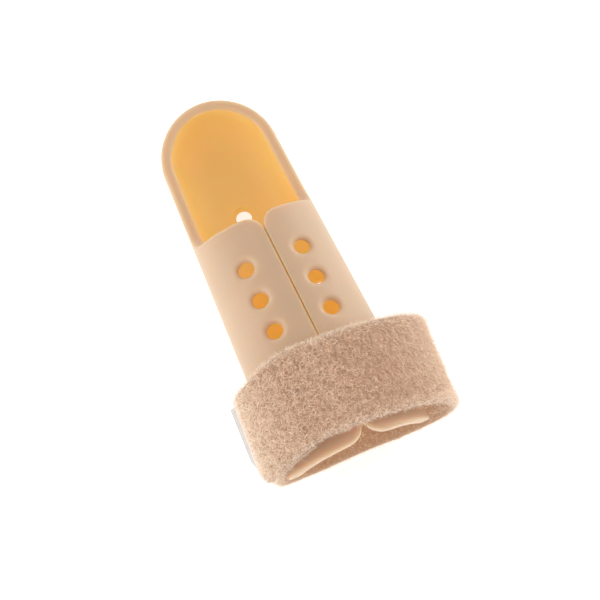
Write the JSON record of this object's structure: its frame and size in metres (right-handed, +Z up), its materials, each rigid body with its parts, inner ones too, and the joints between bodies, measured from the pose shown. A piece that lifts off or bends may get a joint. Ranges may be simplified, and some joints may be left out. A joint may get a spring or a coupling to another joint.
{
  "type": "finger splint",
  "caption": "Mallet-finger splint: moulded plastic fingertip shell with an open nail window, slit flaps and round vent holes, held by a plush loop strap with a hook tab.",
  "frame": {"origin": "middle of the footprint, on the surface that the splint lies on", "axes": "+X to the closed fingertip, +Z up through the nail window and flaps, +Y to the side of the strap's free end"},
  "size_m": [0.0662, 0.0354, 0.0274],
  "materials": {
    "shell_plastic": "satin, skin-coloured, slightly see-through moulded polypropylene",
    "plush_strap": "short dense brushed-loop pile",
    "hook_tape": "thin cloudy hook tape"
  },
  "bodies": {
    "root": {"splint_shell": "shell_plastic", "strap": "plush_strap", "hook_tab": "hook_tape"}
  },
  "joints": []
}
